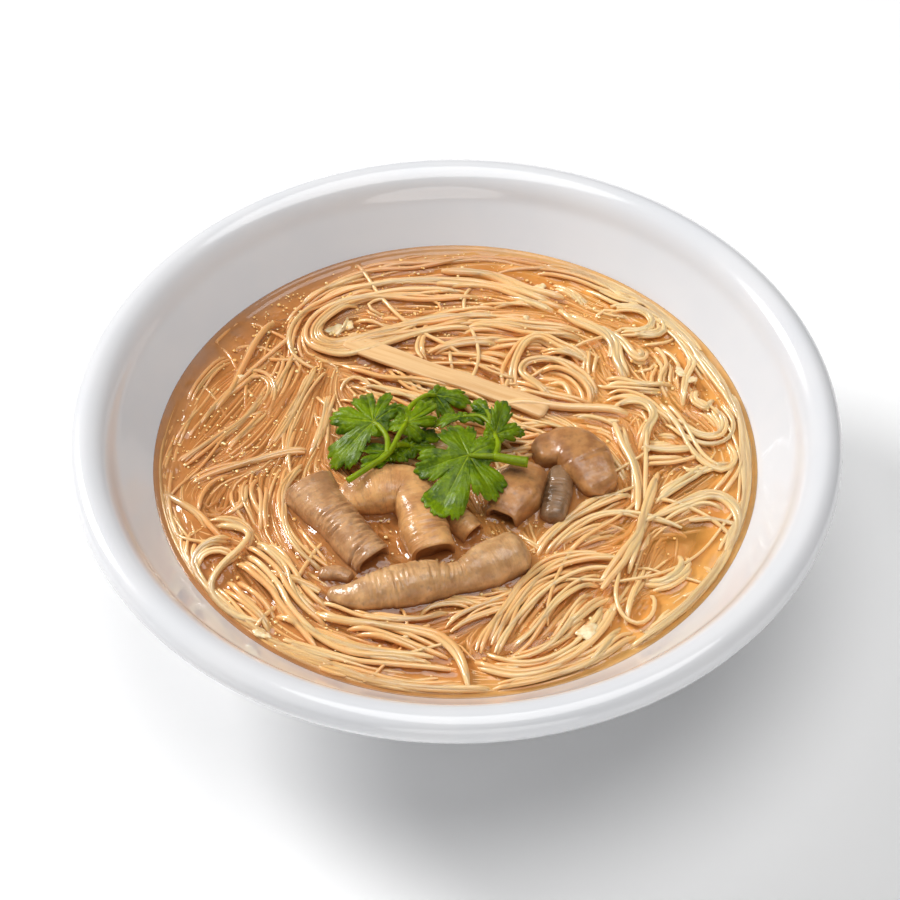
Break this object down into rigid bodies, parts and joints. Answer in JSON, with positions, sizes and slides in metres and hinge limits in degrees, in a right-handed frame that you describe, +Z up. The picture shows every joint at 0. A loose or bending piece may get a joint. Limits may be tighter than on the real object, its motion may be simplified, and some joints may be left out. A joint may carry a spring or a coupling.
{
  "type": "bowl of noodle soup",
  "caption": "White bowl of fine wheat noodles in amber broth, topped with braised pork intestine, a bamboo strip and coriander sprigs.",
  "frame": {"origin": "centre of the bowl's foot, on the plane it stands on", "axes": "+Z up out of the bowl; -Y is the side that faces the viewer of the picture; +X is the picture's right"},
  "size_m": [0.21, 0.21, 0.0612],
  "materials": {
    "china": "glossy white glaze",
    "broth": "wet, thickened amber broth with fine oil drops",
    "noodle": "wet, slightly translucent wheat noodle",
    "bamboo": "wet, fibrous, satin",
    "intestine": "wet, wrinkled, braised brown",
    "coriander": "fresh green leaf with a waxy sheen"
  },
  "bodies": {
    "root": {"bowl": "china", "broth": "broth", "noodles": "noodle", "bamboo_strip": "bamboo", "intestine_left": "intestine", "intestine_bent": "intestine", "intestine_short": "intestine", "intestine_long": "intestine", "intestine_flap": "intestine", "intestine_dark": "intestine", "intestine_right": "intestine", "intestine_scrap": "intestine", "sprig_left": "coriander", "sprig_right": "coriander"}
  },
  "joints": []
}
